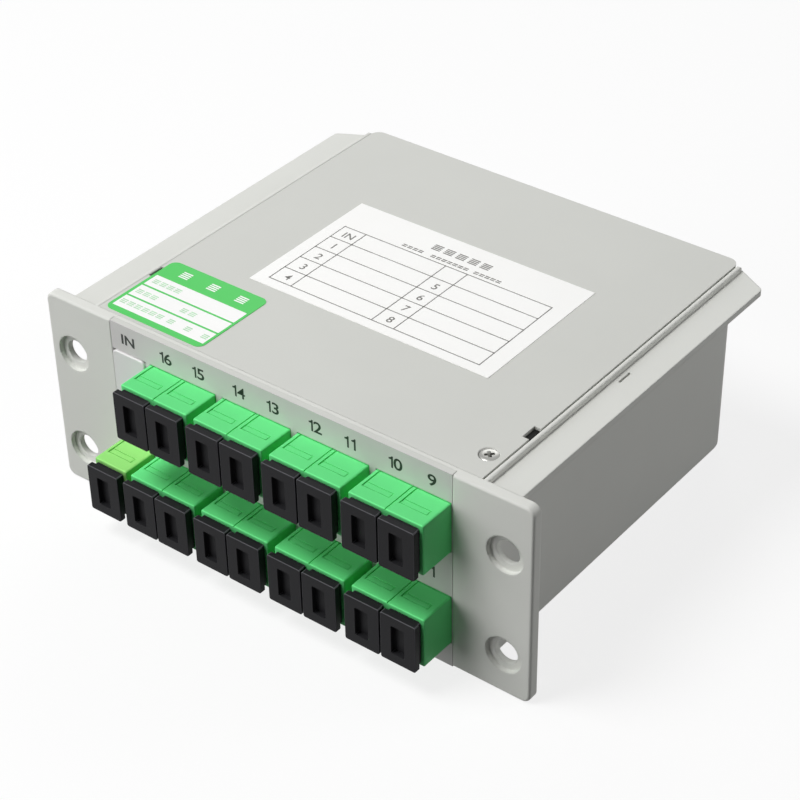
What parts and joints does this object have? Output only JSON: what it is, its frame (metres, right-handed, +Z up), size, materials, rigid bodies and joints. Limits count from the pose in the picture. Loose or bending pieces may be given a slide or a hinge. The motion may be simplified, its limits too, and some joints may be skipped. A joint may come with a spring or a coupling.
{
  "type": "plug-in PLC fibre splitter cassette",
  "caption": "Moulded box with ears and guide wings; a splitter inside feeds output ports from one input port, each closed by a push-in dust cap.",
  "frame": {"origin": "centre of the bottom face of the box", "axes": "front panel faces -Y, +X to the right seen from the front, +Z up"},
  "size_m": [0.13, 0.1119, 0.0501],
  "materials": {
    "green_plastic": "moulded green PBT",
    "abs_blank": "fine-textured warm light grey ABS",
    "boot_rubber": "soft green elastomer",
    "connector_green": "moulded green PBT",
    "screw_steel": "nickel-plated steel",
    "black_plastic": "moulded black PP",
    "ceramic": "polished white zirconia",
    "abs_body": "fine-textured warm light grey ABS",
    "yellow_green_plastic": "moulded yellow-green PBT",
    "potting": "black potting rubber",
    "fibre_jacket": "white 0.9 mm fibre jacket",
    "silica": "polished silica",
    "port_film": "satin printed polyester film",
    "green_label": "printed coated paper",
    "case_steel": "stainless steel",
    "foam_pad": "white foam tape",
    "white_label": "printed coated paper",
    "abs_cover": "fine-textured warm light grey ABS"
  },
  "bodies": {
    "cassette": {"adapter_01_02": "green_plastic", "adapter_03_04": "green_plastic", "adapter_05_06": "green_plastic", "adapter_07_08": "green_plastic", "adapter_09_10": "green_plastic", "adapter_11_12": "green_plastic", "adapter_13_14": "green_plastic", "adapter_15_16": "green_plastic", "blank_plug": "abs_blank", "boots": "boot_rubber", "connectors_01_02": "connector_green", "connectors_03_04": "connector_green", "connectors_05_06": "connector_green", "connectors_07_08": "connector_green", "connectors_09_10": "connector_green", "connectors_11_12": "connector_green", "connectors_13_14": "connector_green", "connectors_15_16": "connector_green", "cover_screws": "screw_steel", "ferrules": "ceramic", "housing": "abs_body", "input_adapter": "yellow_green_plastic", "input_connector": "connector_green", "input_end_plug": "potting", "input_fibre": "fibre_jacket", "input_fibre_block": "silica", "output_end_plug": "potting", "output_fibre_block": "silica", "output_fibres": "fibre_jacket", "port_film": "port_film", "port_plate": "abs_body", "seal_label": "green_label", "sleeves": "ceramic", "splitter_case": "case_steel", "splitter_chip": "silica", "splitter_pad": "foam_pad", "table_label": "white_label", "top_cover": "abs_cover"},
    "dust_cap_01": {"dust_cap_01": "black_plastic"},
    "dust_cap_02": {"dust_cap_02": "black_plastic"},
    "dust_cap_03": {"dust_cap_03": "black_plastic"},
    "dust_cap_04": {"dust_cap_04": "black_plastic"},
    "dust_cap_05": {"dust_cap_05": "black_plastic"},
    "dust_cap_06": {"dust_cap_06": "black_plastic"},
    "dust_cap_07": {"dust_cap_07": "black_plastic"},
    "dust_cap_08": {"dust_cap_08": "black_plastic"},
    "dust_cap_09": {"dust_cap_09": "black_plastic"},
    "dust_cap_10": {"dust_cap_10": "black_plastic"},
    "dust_cap_11": {"dust_cap_11": "black_plastic"},
    "dust_cap_12": {"dust_cap_12": "black_plastic"},
    "dust_cap_13": {"dust_cap_13": "black_plastic"},
    "dust_cap_14": {"dust_cap_14": "black_plastic"},
    "dust_cap_15": {"dust_cap_15": "black_plastic"},
    "dust_cap_16": {"dust_cap_16": "black_plastic"},
    "input_dust_cap": {"input_dust_cap": "black_plastic"}
  },
  "joints": [
    {"name": "dust_cap_01_pull", "type": "slide", "parent": "cassette", "child": "dust_cap_01", "axis": [0, -1, 0], "range_m": [0, 0.012]},
    {"name": "dust_cap_02_pull", "type": "slide", "parent": "cassette", "child": "dust_cap_02", "axis": [0, -1, 0], "range_m": [0, 0.012]},
    {"name": "dust_cap_03_pull", "type": "slide", "parent": "cassette", "child": "dust_cap_03", "axis": [0, -1, 0], "range_m": [0, 0.012]},
    {"name": "dust_cap_04_pull", "type": "slide", "parent": "cassette", "child": "dust_cap_04", "axis": [0, -1, 0], "range_m": [0, 0.012]},
    {"name": "dust_cap_05_pull", "type": "slide", "parent": "cassette", "child": "dust_cap_05", "axis": [0, -1, 0], "range_m": [0, 0.012]},
    {"name": "dust_cap_06_pull", "type": "slide", "parent": "cassette", "child": "dust_cap_06", "axis": [0, -1, 0], "range_m": [0, 0.012]},
    {"name": "dust_cap_07_pull", "type": "slide", "parent": "cassette", "child": "dust_cap_07", "axis": [0, -1, 0], "range_m": [0, 0.012]},
    {"name": "dust_cap_08_pull", "type": "slide", "parent": "cassette", "child": "dust_cap_08", "axis": [0, -1, 0], "range_m": [0, 0.012]},
    {"name": "dust_cap_09_pull", "type": "slide", "parent": "cassette", "child": "dust_cap_09", "axis": [0, -1, 0], "range_m": [0, 0.012]},
    {"name": "dust_cap_10_pull", "type": "slide", "parent": "cassette", "child": "dust_cap_10", "axis": [0, -1, 0], "range_m": [0, 0.012]},
    {"name": "dust_cap_11_pull", "type": "slide", "parent": "cassette", "child": "dust_cap_11", "axis": [0, -1, 0], "range_m": [0, 0.012]},
    {"name": "dust_cap_12_pull", "type": "slide", "parent": "cassette", "child": "dust_cap_12", "axis": [0, -1, 0], "range_m": [0, 0.012]},
    {"name": "dust_cap_13_pull", "type": "slide", "parent": "cassette", "child": "dust_cap_13", "axis": [0, -1, 0], "range_m": [0, 0.012]},
    {"name": "dust_cap_14_pull", "type": "slide", "parent": "cassette", "child": "dust_cap_14", "axis": [0, -1, 0], "range_m": [0, 0.012]},
    {"name": "dust_cap_15_pull", "type": "slide", "parent": "cassette", "child": "dust_cap_15", "axis": [0, -1, 0], "range_m": [0, 0.012]},
    {"name": "dust_cap_16_pull", "type": "slide", "parent": "cassette", "child": "dust_cap_16", "axis": [0, -1, 0], "range_m": [0, 0.012]},
    {"name": "input_dust_cap_pull", "type": "slide", "parent": "cassette", "child": "input_dust_cap", "axis": [0, -1, 0], "range_m": [0, 0.012]}
  ]
}
